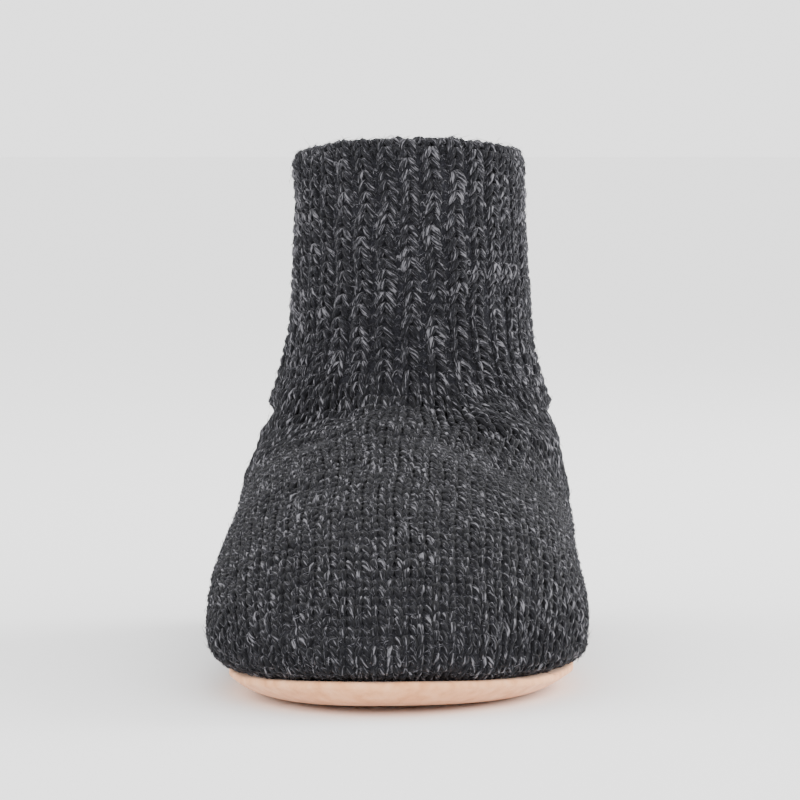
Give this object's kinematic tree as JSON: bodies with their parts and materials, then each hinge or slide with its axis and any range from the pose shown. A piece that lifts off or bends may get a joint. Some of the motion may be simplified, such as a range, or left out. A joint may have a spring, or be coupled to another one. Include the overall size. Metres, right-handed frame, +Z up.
{
  "type": "slipper sock",
  "caption": "Ankle-high slipper sock: a hollow knitted wool upper with a ribbed, doubled cuff, a curled suede sole with a thin pad and a felt insole.",
  "frame": {"origin": "centre of the bounding box on the floor", "axes": "+Y towards the heel, -Y towards the toe, +Z up, -X towards the big toe's side"},
  "size_m": [0.1048, 0.274, 0.148],
  "materials": {
    "upper": "dark marled wool knit",
    "outsole": "napped suede",
    "insole": "wool felt"
  },
  "bodies": {
    "root": {"upper": "upper", "outsole": "outsole", "insole": "insole"}
  },
  "joints": []
}
